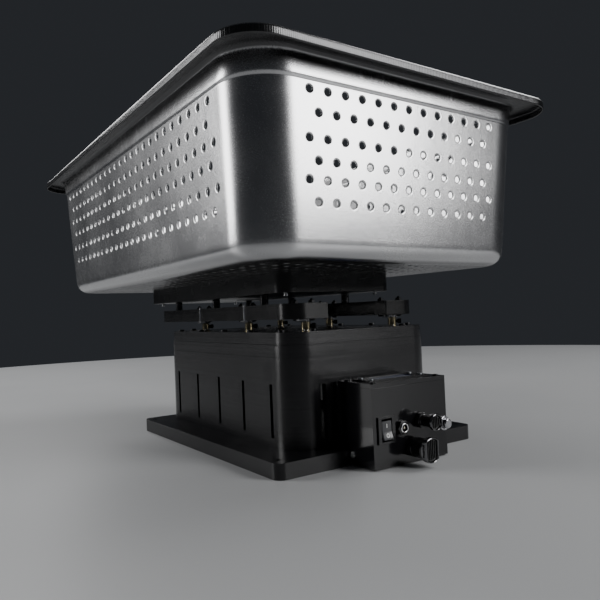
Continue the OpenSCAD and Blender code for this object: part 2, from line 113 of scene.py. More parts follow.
def noise(tree, vec, scale, detail=3.0, rough=0.5):
    n = node(tree, "TexNoise")
    n.inputs["Scale"].default_value = scale
    n.inputs["Detail"].default_value = detail
    n.inputs["Roughness"].default_value = rough
    tree.links.new(vec, n.inputs["Vector"])
    return n.outputs[0]


def ramp(tree, value, low, high, a=0.0, b=1.0):
    n = node(tree, "MapRange")
    n.inputs["From Min"].default_value = low
    n.inputs["From Max"].default_value = high
    n.inputs["To Min"].default_value = a
    n.inputs["To Max"].default_value = b
    tree.links.new(value, n.inputs["Value"])
    return n.outputs[0]


def math2(tree, op, a, b=0):
    n = node(tree, "Math", operation=op)
    for i, v in enumerate((a, b)):
        if isinstance(v, (int, float)):
            n.inputs[i].default_value = v
        else:
            tree.links.new(v, n.inputs[i])
    return n.outputs[0]


def mix_color(tree, fac, a, b):
    n = node(tree, "Mix", data_type="RGBA")
    tree.links.new(fac, n.inputs[0])
    for i, v in ((6, a), (7, b)):
        if isinstance(v, tuple):
            n.inputs[i].default_value = (*v, 1.0)
        else:
            tree.links.new(v, n.inputs[i])
    return n.outputs[2]


def waves(tree, value, spacing):
    """A sine ripple with one crest every spacing metres."""
    return math2(tree, "SINE", math2(tree, "MULTIPLY", value, 2 * math.pi / spacing))


def bump(tree, height, distance, strength=1.0, under=None):
    n = node(tree, "Bump")
    n.inputs["Strength"].default_value = strength
    n.inputs["Distance"].default_value = distance
    tree.links.new(height, n.inputs["Height"])
    if under is not None:
        tree.links.new(under, n.inputs["Normal"])
    return n.outputs[0]


LAYER = 0.0003    # height of one printed layer


def printed(name, tone, rough, spec=0.5):
    """Black filament print: layer lines round the sides and raster lines on the top."""
    mat = bpy.data.materials.new(name)
    t, b = nodes_of(mat)
    v = coords(t)
    x, y, z = parts(t, v)
    flat = ramp(t, math2(t, "ABSOLUTE", normal_parts(t)[2]), 0.6, 0.9)
    # layer lines, with bands where the layers sit slightly in or out
    fine = waves(t, z, LAYER)
    bands = noise(t, coords(t, (0.6, 0.6, 1300)), 1.0, 3.0, 0.7)
    slow = noise(t, coords(t, (1.5, 1.5, 260)), 1.0, 2.0, 0.5)
    raster = waves(t, math2(t, "ADD", x, y), 2 * LAYER)
    side = math2(t, "ADD", math2(t, "MULTIPLY", fine, 0.12), math2(t, "ADD", bands, slow))
    top = math2(t, "ADD", math2(t, "MULTIPLY", raster, 0.12), noise(t, v, 900, 2.0))
    h = node(t, "Mix", data_type="FLOAT")
    t.links.new(flat, h.inputs[0])
    t.links.new(side, h.inputs[2])
    t.links.new(top, h.inputs[3])
    speck = noise(t, v, 2600, 2.0, 0.6)
    n1 = bump(t, h.outputs[0], 0.00006, 0.9)
    t.links.new(bump(t, speck, 0.00004, 0.6, n1), b.inputs["Normal"])
    dust = noise(t, v, 60, 5.0, 0.6)
    light = tuple(c * 1.6 + 0.002 for c in tone)
    dusty = math2(t, "MULTIPLY", ramp(t, dust, 0.4, 0.8), 0.4)
    lines = ramp(t, bands, 0.45, 0.8, 0.0, 0.4)
    t.links.new(mix_color(t, math2(t, "MAXIMUM", dusty, lines), tone, light), b.inputs["Base Color"])
    worn = ramp(t, math2(t, "ADD", dust, bands), 0.6, 1.4, rough - 0.05, rough + 0.08)
    t.links.new(worn, b.inputs["Roughness"])
    b.inputs["Specular IOR Level"].default_value = spec
    return mat


def plastic(name, tone, rough, grain=3000, depth=0.00002, coat=0.0, spec=0.5):
    """Moulded plastic with a fine spark-eroded grain and faint smudges."""
    mat = bpy.data.materials.new(name)
    t, b = nodes_of(mat)
    v = coords(t)
    g = noise(t, v, grain, 2.0, 0.5)
    smudge = noise(t, v, 14, 2.0, 0.5)
    light = tuple(c * 1.2 + 0.001 for c in tone)
    t.links.new(mix_color(t, ramp(t, smudge, 0.35, 0.75), tone, light), b.inputs["Base Color"])
    t.links.new(ramp(t, smudge, 0.3, 0.75, rough - 0.02, rough + 0.03), b.inputs["Roughness"])
    t.links.new(bump(t, g, depth, 0.5), b.inputs["Normal"])
    b.inputs["Coat Weight"].default_value = coat
    b.inputs["Specular IOR Level"].default_value = spec
    return mat


def metal(name, tone, rough, stretch=(1, 1, 1), scale=900, depth=0.00001, vary=0.12):
    """Metal with turning or brushing marks along the stretched direction."""
    mat = bpy.data.materials.new(name)
    t, b = nodes_of(mat)
    b.inputs["Metallic"].default_value = 1.0
    v = coords(t, stretch)
    g = noise(t, v, scale, 3.0, 0.6)
    cloud = noise(t, coords(t), 30, 4.0, 0.6)
    dark = tuple(c * (1 - vary) for c in tone)
    t.links.new(mix_color(t, ramp(t, cloud, 0.3, 0.7), dark, tone), b.inputs["Base Color"])
    mixr = math2(t, "ADD", math2(t, "MULTIPLY", g, 0.12), ramp(t, cloud, 0.3, 0.7, rough - 0.1, rough))
    t.links.new(mixr, b.inputs["Roughness"])
    t.links.new(bump(t, g, depth, 0.6), b.inputs["Normal"])
    return mat


PAN_HALF = (0.1625, 0.265)    # half the pan's rim, across and along
FLANGE_FROM = 0.2935          # height where the pan's flange begins
LIP_RIB = 0.0016              # spacing of the forming marks on the lip


def pan_steel():
    """Satin drawn steel: cloudy, faintly brushed along each wall, ribbed round the lip, with painted shade
    where it faces the table.
    """
    mat = bpy.data.materials.new("pan_steel")
    t, b = nodes_of(mat)
    b.inputs["Metallic"].default_value = 1.0
    v = coords(t)
    x, y, z = parts(t, v)
    brush = noise(t, coords(t, (25, 25, 2600)), 1.0, 3.0, 0.65)
    grain = noise(t, v, 1900, 3.0, 0.6)
    cloud = noise(t, v, 14, 5.0, 0.6)
    drawn = noise(t, coords(t, (60, 60, 5)), 1.0, 3.0, 0.5)
    tone = mix_color(t, ramp(t, cloud, 0.3, 0.72), (0.55, 0.55, 0.56), (0.63, 0.63, 0.635))
    # painted shade: near black where it faces the table: the bottom, the lip and the flange's underside
    up = normal_parts(t)[2]
    bottom = ramp(t, up, -0.97, -0.8, 0.7, 0.0)
    out_x = math2(t, "DIVIDE", math2(t, "ABSOLUTE", x), PAN_HALF[0])
    out_y = math2(t, "DIVIDE", math2(t, "ABSOLUTE", y), PAN_HALF[1])
    lip = ramp(t, math2(t, "MAXIMUM", out_x, out_y), 0.9, 0.93)
    lip = math2(t, "MULTIPLY", lip, ramp(t, z, FLANGE_FROM, FLANGE_FROM + 0.002))
    lip = math2(t, "MULTIPLY", lip, ramp(t, up, 0.2, 0.7, 0.88, 0.0))
    flange = math2(t, "MULTIPLY", ramp(t, up, -0.6, -0.3, 0.88, 0.0),
                   ramp(t, z, FLANGE_FROM - 0.0035, FLANGE_FROM))
    # painted shade: the three masks together take the steel to near black
    dark = math2(t, "MAXIMUM", math2(t, "MAXIMUM", bottom, lip), flange)
    tone = mix_color(t, dark, tone, (0.02, 0.02, 0.021))
    t.links.new(tone, b.inputs["Base Color"])
    r = math2(t, "ADD", ramp(t, grain, 0.3, 0.7, 0.21, 0.28), ramp(t, cloud, 0.3, 0.7, -0.02, 0.03))
    t.links.new(r, b.inputs["Roughness"])
    n1 = bump(t, grain, 0.00002, 0.5)
    n2 = bump(t, brush, 0.00002, 0.5, n1)
    n3 = bump(t, drawn, 0.00022, 0.35, n2)
    # fine forming marks across the turned-down lip
    rib = math2(t, "ADD", waves(t, x, LIP_RIB), waves(t, y, LIP_RIB))
    on_lip = ramp(t, z, 0.2962, 0.2972)
    t.links.new(bump(t, math2(t, "MULTIPLY", rib, on_lip), 0.00005, 0.6, n3), b.inputs["Normal"])
    return mat


def floor_material():
    mat = bpy.data.materials.new("floor")
    t, b = nodes_of(mat)
    v = coords(t)
    n = ramp(t, noise(t, v, 3.0, 3.0, 0.5), 0.3, 0.7)
    t.links.new(mix_color(t, n, (0.5, 0.507, 0.515), (0.535, 0.54, 0.546)), b.inputs["Base Color"])
    b.inputs["Roughness"].default_value = 0.45
    return mat


def add_mesh(name, verts, faces):
    me = bpy.data.meshes.new(name)
    me.from_pydata([tuple(p) for p in verts], [], faces)
    me.update()
    ob = bpy.data.objects.new(name, me)
    bpy.context.scene.collection.objects.link(ob)
    return ob


FLOOR_R, FLOOR_SEGS = 1.4, 96
floor_verts, floor_faces = [(0.0, 0.0, 0.0)], []
for k in range(FLOOR_SEGS):
    a = 2 * math.pi * k / FLOOR_SEGS
    floor_verts.append((FLOOR_R * math.cos(a), FLOOR_R * math.sin(a), 0.0))
    floor_faces.append((0, 1 + k, 1 + (k + 1) % FLOOR_SEGS))
floor = add_mesh("floor", floor_verts, floor_faces)
floor.data.materials.append(floor_material())

world = bpy.data.worlds.new("world")
bpy.context.scene.world = world
world.use_nodes = True
backdrop = world.node_tree.nodes["Background"]
backdrop.inputs["Color"].default_value = (0.62, 0.68, 0.78, 1)
backdrop.inputs["Strength"].default_value = 0.035


def softbox(name, place, target, size, power, size_y=None):
    """An area light aimed at target: square, or size wide and size_y high."""
    data = bpy.data.lights.new(name, "AREA")
    data.energy = power
    data.size = size
    if size_y:
        data.shape = "RECTANGLE"
        data.size_y = size_y
    ob = bpy.data.objects.new(name, data)
    bpy.context.scene.collection.objects.link(ob)
    ob.location = place
    ob.rotation_euler = (Vector(target) - Vector(place)).to_track_quat("-Z", "Y").to_euler()


softbox("right", (0.8, -1.45, 0.78), (0.0, -0.15, 0.2), 0.62, 17, 0.95)
softbox("left", (-1.3, 0.95, 0.72), (0.0, 0.0, 0.2), 0.62, 15, 0.95)
softbox("right_high", (1.5, -0.2, 1.6), (0.0, 0.0, 0.05), 0.75, 11)
softbox("rear_high", (0.0, 1.6, 1.15), (0.0, 0.0, 0.05), 0.7, 8)


# ---------- shared mesh helpers ----------

def shade(ob, angle=35):
    """Smooth faces, with edges sharper than angle kept crisp."""
    bm = bmesh.new()
    bm.from_mesh(ob.data)
    lim = math.radians(angle)
    for f in bm.faces:
        f.smooth = True
    for e in bm.edges:
        if len(e.link_faces) == 2:
            e.smooth = e.calc_face_angle(0.0) < lim
        else:
            e.smooth = False
    bm.to_mesh(ob.data)
    bm.free()


def flatten_normals(ob):
    """Keeps flat faces flat-shaded next to small rounded edges."""
    m = ob.modifiers.new("normals", "WEIGHTED_NORMAL")
    m.mode = "FACE_AREA"
    m.weight = 100
    m.keep_sharp = True


def finish_piece(ob, body, slot, *mats):
    for m in mats:
        ob.data.materials.append(m)
    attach(ob, body)


def body_name(node_name):
    for body, members in frame["record"]["behaviour"]["bodies"].items():
        if node_name in members:
            return body


def slot_name(node_name):
    for row in frame["record"]["subparts"]:
        if row["node"] == node_name:
            return row["material_slot"]


WELD = 2e-6    # corners of a CAD mesh closer than this are one corner


def welded(node_name):
    """The CAD mesh of a node, with its doubled corners joined."""
    bm = bmesh.new()
    bm.from_mesh(frame["nodes"][node_name].data)
    bmesh.ops.remove_doubles(bm, verts=bm.verts, dist=WELD)
    return bm


def refine(node_name, bevel, mat, edit=None, second=None):
    """A finished copy of a CAD node. With no bevel it keeps its CAD faces, flat where they are flat."""
    bm = welded(node_name)
    if bevel:
        bmesh.ops.dissolve_limit(bm, angle_limit=math.radians(1.0), verts=bm.verts, edges=bm.edges)
    if edit:
        edit(bm)
    me = bpy.data.meshes.new(node_name + "_skin")
    bm.to_mesh(me)
    bm.free()
    ob = bpy.data.objects.new(node_name + "_skin", me)
    bpy.context.scene.collection.objects.link(ob)
    shade(ob)
    if bevel:
        m = ob.modifiers.new("edges", "BEVEL")
        m.width = bevel
        m.segments = 2
        m.limit_method = "ANGLE"
        m.angle_limit = math.radians(30)
        m.use_clamp_overlap = True
        m.miter_outer = "MITER_ARC"
        flatten_normals(ob)
    else:
        for f in ob.data.polygons:
            f.use_smooth = max(abs(c) for c in f.normal) < 0.9999
    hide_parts(node_name)
    mats = [mat, second] if second else [mat]
    finish_piece(ob, body_name(node_name), slot_name(node_name), *mats)


def frame_at(origin, axis, x_hint=(0, 0, 1)):
    """Matrix whose local Z is axis, placed at origin."""
    z = Vector(axis).normalized()
    x = Vector(x_hint)
    if abs(x.normalized().dot(z)) > 0.95:
        x = Vector((1, 0, 0))
    y = z.cross(x).normalized()
    x = y.cross(z).normalized()
    m = Matrix((x, y, z)).transposed().to_4x4()
    m.translation = Vector(origin)
    return m


def revolve(bm, profile, at, segs=48, mat=0, radius_fn=None, cap_low=True, cap_high=True):
    """Adds a revolve of (radius, height) points about local Z of at; radius_fn shapes each ring."""
    rings = []
    for r, h in profile:
        if r < 1e-7:
            rings.append([bm.verts.new(at @ Vector((0, 0, h)))])
            continue
        ring = []
        for k in range(segs):
            a = 2 * math.pi * k / segs
            rr = radius_fn(r, h, a) if radius_fn else r
            ring.append(bm.verts.new(at @ Vector((rr * math.cos(a), rr * math.sin(a), h))))
        rings.append(ring)
    for lo, hi in zip(rings, rings[1:]):
        for k in range(segs):
            k2 = (k + 1) % segs
            quad = []
            for v in (lo[k % len(lo)], lo[k2 % len(lo)], hi[k2 % len(hi)], hi[k % len(hi)]):
                if v not in quad:
                    quad.append(v)
            if len(quad) > 2:
                f = bm.faces.new(quad)
                f.material_index = mat
    if cap_low and len(rings[0]) > 1:
        bm.faces.new(list(reversed(rings[0]))).material_index = mat
    if cap_high and len(rings[-1]) > 1:
        bm.faces.new(rings[-1]).material_index = mat


def from_bmesh(name, bm, angle):
    """The object of a finished bmesh, shaded smooth below angle."""
    bmesh.ops.recalc_face_normals(bm, faces=bm.faces)
    me = bpy.data.meshes.new(name)
    bm.to_mesh(me)
    bm.free()
    ob = bpy.data.objects.new(name, me)
    bpy.context.scene.collection.objects.link(ob)
    shade(ob, angle)
    return ob


def solids(node_name):
    """The separate solids of a CAD node, each as (low corner, high corner)."""
    bm = welded(node_name)
    left, found = set(bm.verts), []
    while left:
        stack, group = [left.pop()], []
        while stack:
            v = stack.pop()
            group.append(v.co.copy())
            for e in v.link_edges:
                w = e.other_vert(v)
                if w in left:
                    left.remove(w)
                    stack.append(w)
        lo = Vector([min(p[i] for p in group) for i in range(3)])
        hi = Vector([max(p[i] for p in group) for i in range(3)])
        found.append((lo, hi))
    bm.free()
    return sorted(found, key=lambda b: (round(b[0].x, 4), round(b[0].y, 4)))


# ---------- materials ----------

MAT = {
    "printed_black": printed("printed_black", (0.0075, 0.0075, 0.0085), 0.2),
    "flange_black": printed("flange_black", (0.0075, 0.0075, 0.0085), 0.2),
    "lid_black": printed("lid_black", (0.0075, 0.0075, 0.0085), 0.2),
    "frame_black": printed("frame_black", (0.006, 0.006, 0.0065), 0.2, 0.3),
    "plate_black": printed("plate_black", (0.006, 0.006, 0.0065), 0.28, 0.25),
    "box_black": plastic("box_black", (0.005, 0.005, 0.006), 0.12, 2600, 0.000002, 0.1, 0.4),
    "black_screw": metal("black_screw", (0.04, 0.04, 0.042), 0.3, scale=1500),
    "steel_screw": metal("steel_screw", (0.6, 0.6, 0.61), 0.25, scale=1500),
    "bearing_steel": metal("bearing_steel", (0.62, 0.62, 0.63), 0.22, scale=1200),
    "crank_steel": metal("crank_steel", (0.6, 0.6, 0.61), 0.22, (1, 1, 30), 300),
    "collar_brass": metal("collar_brass", (0.5, 0.43, 0.27), 0.17, (1, 1, 20), 400, vary=0.35),
    "motor_grey": metal("motor_grey", (0.25, 0.26, 0.27), 0.4),
    "gearbox_steel": metal("gearbox_steel", (0.58, 0.58, 0.6), 0.35),
    "dowel_steel": metal("dowel_steel", (0.8, 0.8, 0.81), 0.16, scale=1500),
    "post_black": metal("post_black", (0.05, 0.05, 0.052), 0.22, scale=1500),
    "pan_steel": pan_steel(),
    "bezel_black": plastic("bezel_black", (0.007, 0.007, 0.008), 0.22, depth=0.000005),
    "display_board": plastic("display_board", (0.02, 0.05, 0.14), 0.3),
    "board_green": plastic("board_green", (0.01, 0.1, 0.045), 0.3),
    "rocker_grey": plastic("rocker_grey", (0.055, 0.056, 0.06), 0.22, 2400, 0.000005),
    "jack_silver": metal("jack_silver", (0.86, 0.86, 0.87), 0.13, scale=1500),
    "jack_brass": metal("jack_brass", (0.55, 0.52, 0.42), 0.2),
    "nut_black": plastic("nut_black", (0.008, 0.008, 0.008), 0.18, depth=0.000005, coat=0.3),
    "pot_grey": metal("pot_grey", (0.3, 0.31, 0.33), 0.4),
    "knob_black": plastic("knob_black", (0.006, 0.006, 0.0065), 0.24, depth=0.000006, coat=0.2),
    "shaft_steel": metal("shaft_steel", (0.7, 0.7, 0.72), 0.22),
    "button_steel": metal("button_steel", (0.5, 0.5, 0.52), 0.1, scale=1500),
}


# ---------- the pan ----------

def round_rect(hx, hy, r, arc=14, inset=0.003):
    """Points round a rounded rectangle, with one extra point inside each straight's ends."""
    pts = []
    for c, (sx, sy) in enumerate(((1, 1), (-1, 1), (-1, -1), (1, -1))):
        cx, cy = sx * (hx - r), sy * (hy - r)
        a0 = c * math.pi / 2
        first = Vector((cx + r * math.cos(a0), cy + r * math.sin(a0)))
        along = Vector((-math.sin(a0), math.cos(a0)))
        pts.append(first - along * inset)
        for k in range(arc + 1):
            a = a0 + math.pi / 2 * k / arc
            pts.append(Vector((cx + r * math.cos(a), cy + r * math.sin(a))))
        a1 = a0 + math.pi / 2
        last = pts[-1]
        pts.append(last + Vector((-math.sin(a1), math.cos(a1))) * inset)
    return pts


LEAN = 0.0633    # how far the pan's walls lean out for each unit of height


def wall_half(z):
    """Half sizes of the pan's wall plane at height z."""
    return 0.13715 + LEAN * (z - 0.2025), 0.236 + LEAN * (z - 0.2025)


def build_pan():
    """The pan as one formed sheet: bottom, bend, walls, shoulder, flange and turned-down lip."""
    lo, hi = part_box("perforated_pan")
    z0, top = lo.z + 0.0001, hi.z
    sheet = 0.0010
    out_x, out_y = hi.x - 0.0002 - sheet, hi.y - 0.0002 - sheet
    b, rc = 0.0125, 0.0355    # radius of the bottom bend, and of the upright corners
    bx, by = wall_half(z0)
    k = LEAN * b - b * math.sqrt(1 + LEAN * LEAN)
    cx, cy = bx + k, by + k
    end = math.atan2(1, LEAN)
    rows = []    # one ring of the sheet each: half width, half length, corner radius, height
    for j in range(9):
        a = end * j / 8
        out = b * math.sin(a)
        rows.append((cx + out, cy + out, rc - b + out, z0 + b - b * math.cos(a)))
    z_low = rows[-1][3] + 0.003
    z_high = 0.2832
    rows.append((*wall_half(z_low), rc, z_low))
    rows.append((*wall_half(z_high), rc, z_high))
    # stacking shoulder under the rim
    step = 0.0011
    for z, d in ((0.2837, 0.0), (0.2843, 0.12), (0.2851, 0.42), (0.2860, 0.8), (0.2868, 0.96),
                 (0.2880, 1.0), (0.2890, 1.0), (0.2945, 1.0)):
        wx, wy = wall_half(z)
        rows.append((wx + step * d, wy + step * d, rc + step * d, z))
    f = 0.0062    # radius of the bend out to the flange
    flat_z = top - sheet - 0.0001
    wx, wy, zf = rows[-1][0], rows[-1][1], flat_z - f
    wx, wy = wx + LEAN * (zf - rows[-1][3]), wy + LEAN * (zf - rows[-1][3])
    for j in range(9):
        a = math.pi / 2 * j / 8
        d = f - f * math.cos(a)
        rows.append((wx + d, wy + d, rc + step + d, zf + f * math.sin(a)))
    rl, r_out = 0.0026, 0.0308    # radius of the lip's bend, and of the rim's corners
    ex, ey = out_x - rl, out_y - rl
    for t in (0.15, 0.85):
        rows.append((wx + f + (ex - wx - f) * t, wy + f + (ey - wy - f) * t,
                     (rc + step + f) * (1 - t) + (r_out - rl) * t, flat_z))
    for j in range(7):
        a = math.pi / 2 * j / 6
        rows.append((out_x - rl + rl * math.sin(a), out_y - rl + rl * math.sin(a),
                     r_out - rl + rl * math.sin(a), flat_z - rl + rl * math.cos(a)))
    lip_z = top - 0.0085
    rows.append((out_x, out_y, r_out, lip_z + 0.0012))
    rows.append((out_x - 0.0004, out_y - 0.0004, r_out - 0.0004, lip_z))

    bm = bmesh.new()
    rings = []
    for hx, hy, r, z in rows:
        rings.append([bm.verts.new((p.x, p.y, z)) for p in round_rect(hx, hy, r)])
    n = len(rings[0])
    per = n // 4
    wall = 9    # the flat walls lie between this ring and the next
    flats = [(c * per + per - 1) % n for c in range(4)]
    for i, (a, c) in enumerate(zip(rings, rings[1:])):
        for j in range(n):
            if i == wall and j in flats:
                continue
            bm.faces.new((a[j], a[(j + 1) % n], c[(j + 1) % n], c[j]))

    # a hole, the dished edge round it, and the flat ring outside that
    hole_r, dish_r, ring_r, dish = 0.0030, 0.0037, 0.0041, 0.00045
    segs = 20

    def perforate(corners, centres, origin, ax, ay, inward):
        """Fills a flat polygon given by existing verts, leaving dished round holes."""
        flat = [Vector(((v.co - origin).dot(ax), (v.co - origin).dot(ay))) for v in corners]
        pts, edges = list(flat), [(i, (i + 1) % len(flat)) for i in range(len(flat))]
        loops = []
        for cu, cv in centres:
            base = len(pts)
            for k in range(segs):
                a = -2 * math.pi * k / segs
                pts.append(Vector((cu + ring_r * math.cos(a), cv + ring_r * math.sin(a))))
                edges.append((base + k, base + (k + 1) % segs))
            loops.append((cu, cv, base))
        ov, _, tris, orig, _, _ = delaunay_2d_cdt(pts, edges, [], 0, 1e-7)
        # drop the triangles inside a hole
        cell = 0.008
        grid = {}
        for cu, cv, _ in loops:
            grid.setdefault((round(cu / cell), round(cv / cell)), []).append((cu, cv))
        verts = {}
        for i, srcs in enumerate(orig):
            first = min(srcs) if srcs else None
            if first is not None and first < len(corners):
                verts[i] = corners[first]
            else:
                p = ov[i]
                verts[i] = bm.verts.new(origin + ax * p.x + ay * p.y)
        for tri in tris:
            m = sum((ov[i] for i in tri), Vector((0, 0))) / len(tri)
            gx, gy = round(m.x / cell), round(m.y / cell)
            near = [c for dx in (-1, 0, 1) for dy in (-1, 0, 1) for c in grid.get((gx + dx, gy + dy), ())]
            if not any(math.hypot(m.x - cu, m.y - cv) < ring_r * 0.985 for cu, cv in near):
                bm.faces.new([verts[i] for i in tri])
        place = {}
        for i, srcs in enumerate(orig):
            for q in srcs:
                place[q] = verts[i]
        for cu, cv, base in loops:
            prev = [place[base + k] for k in range(segs)]
            for r, d in ((dish_r, 0.0), (0.0034, 0.22), (hole_r, 1.0)):
                ring = []
                for k in range(segs):
                    a = -2 * math.pi * k / segs
                    p = origin + ax * (cu + r * math.cos(a)) + ay * (cv + r * math.sin(a))
                    ring.append(bm.verts.new(p + inward * dish * d))
                for k in range(segs):
                    k2 = (k + 1) % segs
                    bm.faces.new((prev[k], ring[k], ring[k2], prev[k2]))
                prev = ring

    # the walls, with the heights of their rows of holes
    short_z = (0.2784, 0.2633, 0.2458, 0.2307, 0.2175, 0.2025)
    long_z = (0.2787, 0.2634, 0.2487, 0.2336, 0.2169, 0.2013)
    a, d = rings[wall], rings[wall + 1]
    for j in flats:
        quad = [a[j], a[(j + 1) % n], d[(j + 1) % n], d[j]]
        mid = sum((v.co for v in quad), Vector()) / 4
        ax = (quad[1].co - quad[0].co).normalized()
        upw = (quad[3].co + quad[2].co - quad[0].co - quad[1].co).normalized()
        ay = (upw - ax * upw.dot(ax)).normalized()
        inward = -ax.cross(ay)
        long_side = abs(ax.y) > 0.5
        heights = long_z if long_side else short_z
        pitch, count = (0.0159, 25) if long_side else (0.01558, 13)
        centres = []
        for row, z in enumerate(heights):
            m = count - row % 2
            shift = (0.24, 0.12)[row] * pitch if long_side and row < 2 else 0.0
            for q in range(m):
                u = (q - (m - 1) / 2) * pitch
                if long_side:
                    u += -shift if ax.y < 0 else shift
                v = (z - mid.z) / ay.z
                centres.append((u, v))
        perforate(quad, centres, mid, ax, ay, inward)

    # bottom: a staggered grid that passes through the locating pegs
    pegs = solids("pan_pegs")
    p0 = (pegs[0][0] + pegs[0][1]) / 2
    p3 = (pegs[-1][0] + pegs[-1][1]) / 2
    dx = (p3.x - p0.x) / 7
    dy = (p3.y - p0.y) / 18.5
    centres = []
    lim_x, lim_y = rows[0][0] - 0.006, rows[0][1] - 0.006
    for i in range(-8, 16):
        x = p0.x + dx * i
        for j in range(-20, 40):
            y = p0.y + dy * (j + (0.5 if i % 2 else 0.0))
            if abs(x) < lim_x and abs(y) < lim_y and abs(x) + abs(y) < lim_x + lim_y - 0.012:
                centres.append((x, -y))
    ring = list(reversed(rings[0]))
    perforate(ring, centres, Vector((0, 0, z0)), Vector((1, 0, 0)), Vector((0, -1, 0)), Vector((0, 0, 1)))

    for face in bm.faces:
        face.smooth = True
    bmesh.ops.recalc_face_normals(bm, faces=bm.faces)
    me = bpy.data.meshes.new("pan_sheet")
    bm.to_mesh(me)
    bm.free()
    ob = bpy.data.objects.new("pan_sheet", me)
    bpy.context.scene.collection.objects.link(ob)
    m = ob.modifiers.new("thickness", "SOLIDIFY")
    m.thickness = sheet
    m.offset = -1.0
    m.use_even_offset = True
    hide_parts("perforated_pan")
    finish_piece(ob, "pan", "pan_steel", MAT["pan_steel"])


build_pan()


# ---------- everything that keeps its CAD shape ----------

for name, bevel in (
    ("base_plate", 0.0012), ("base_housing", 0), ("base_lid", 0.0009), ("carrier_frame", 0.0009),
    ("top_plate", 0.0011), ("box_shell", 0.0016), ("box_lid", 0.0012), ("display_bezel", 0.0005),
    ("switch_bezel", 0.0006), ("display_module", 0.0002), ("control_board", 0.0002),
    ("motor_can", 0.0008), ("motor_gearbox", 0.0006), ("lid_bearings", 0.0003), ("frame_bearings", 0.0003),
    ("bearing_nuts", 0.0003), ("pot_nuts", 0.0003), ("potentiometers", 0.0004), ("stage_posts", 0.0003),
    ("frame_dowels", 0.0003), ("pan_pegs", 0.0004), ("speed_shaft", 0.0003), ("timer_shaft", 0.0003),
    ("jack_pin", 0.0002), ("jack_nut", 0.0006), ("button_body", 0.0007), ("button_cap", 0.0008),
    *((f"crank_{i}", 0.0004) for i in range(1, 7)),
    *((f"collar_{i}", 0.0004) for i in range(1, 7)),
):
    refine(name, bevel, MAT[slot_name(name)])


def dark_bore(bm):
    """The jack's insulated bore."""
    lo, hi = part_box("jack_body")
    cx, cz = (lo.x + hi.x) / 2, (lo.z + hi.z) / 2
    for f in bm.faces:
        if all(math.hypot(v.co.x - cx, v.co.z - cz) < 0.0029 for v in f.verts):
            f.material_index = 1


refine("jack_body", 0.0004, MAT["jack_silver"], edit=dark_bore, second=MAT["nut_black"])


# ---------- screws ----------

def hexagon(r, a):
    """A circle of radius r pushed out to a hexagon."""
    return r / math.cos((a % (math.pi / 3)) - math.pi / 6)


def cross(r, a):
    """A circle of radius r drawn in to a cross recess."""
    return r * (0.3 + 0.7 * abs(math.cos(2 * a)) ** 3)


def screw(bm, at, shank_r, shank, head_r, head, drive):
    """A screw whose head stands on local z = 0 of at and whose shank goes down."""
    d = head_r * (0.44 if drive == "hex" else 0.62)
    depth = head * 0.55
    tip = shank_r * 0.5
    pitch = 0.0005
    profile = [(0.0, -shank), (shank_r - tip, -shank), (shank_r, -shank + tip)]
    z = -shank + tip + pitch
    while z < -pitch * 2:
        profile += [(shank_r * 0.86, z), (shank_r, z + pitch / 2)]
        z += pitch
    profile += [(shank_r, -0.0001), (shank_r, 0.0), (head_r * 0.95, 0.0), (head_r, head * 0.08),
                (head_r, head * 0.55), (head_r * 0.97, head * 0.75), (head_r * 0.88, head * 0.92),
                (head_r * 0.75, head), (d * 1.12, head), (d, head * 0.97), (d * 0.97, head - depth),
                (d * 0.5, head - depth), (0.0, head - depth * 1.05)]
    recess = hexagon if drive == "hex" else cross

    def radius(r, h, a):
        inside = h > head - depth * 1.1 and r <= d * 1.001 and h > 0
        return recess(r, a) if inside else r
    revolve(bm, profile, at, 30 if drive == "hex" else 32, radius_fn=radius)


def screw_group(node_name, axis, shank_r, head_r, head, drive, mat):
    """A screw in place of each solid of a node, its head towards axis and turned at random."""
    bm = bmesh.new()
    axis = Vector(axis)
    i = [abs(c) for c in axis].index(1)
    for lo, hi in solids(node_name):
        mid = (lo + hi) / 2
        end = hi[i] if axis[i] > 0 else lo[i]
        start = lo[i] if axis[i] > 0 else hi[i]
        base = mid.copy()
        base[i] = end - axis[i] * head
        turn = Matrix.Rotation(random.uniform(0, math.pi), 4, "Z")
        screw(bm, frame_at(base, axis) @ turn, shank_r, abs(end - start) - head, head_r, head, drive)
    ob = from_bmesh(node_name + "_skin", bm, 40)
    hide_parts(node_name)
    finish_piece(ob, body_name(node_name), slot_name(node_name), mat)


screw_group("lid_screws", (0, 0, 1), 0.0015, 0.0032, 0.002, "hex", MAT["black_screw"])
screw_group("housing_screws", (0, 0, -1), 0.0015, 0.003, 0.0023, "hex", MAT["black_screw"])
screw_group("motor_screws", (0, 0, 1), 0.0015, 0.0028, 0.0024, "hex", MAT["black_screw"])
screw_group("bearing_screws", (0, 0, -1), 0.0015, 0.0028, 0.0018, "hex", MAT["black_screw"])
screw_group("post_screws", (0, 0, 1), 0.00175, 0.0034, 0.0032, "hex", MAT["steel_screw"])
screw_group("box_lid_screws", (0, 0, 1), 0.00125, 0.0024, 0.001, "cross", MAT["black_screw"])
screw_group("bezel_screws", (0, 0, 1), 0.0012, 0.0023, 0.001, "cross", MAT["pot_grey"])


def side_screws():
    """The two screws in the control box's sides, with their heads outwards."""
    bm = bmesh.new()
    lo_box, hi_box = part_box("box_side_screws")
    for lo, hi in solids("box_side_screws"):
        mid = (lo + hi) / 2
        sign = -1 if mid.x < (lo_box.x + hi_box.x) / 2 else 1
        end = lo.x if sign < 0 else hi.x
        base = Vector((end - sign * 0.0018, mid.y, mid.z))
        screw(bm, frame_at(base, (sign, 0, 0)), 0.0015, 0.006, 0.0027, 0.0018, "cross")
    ob = from_bmesh("box_side_screws_skin", bm, 40)
    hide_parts("box_side_screws")
    finish_piece(ob, "base", slot_name("box_side_screws"), MAT["steel_screw"])


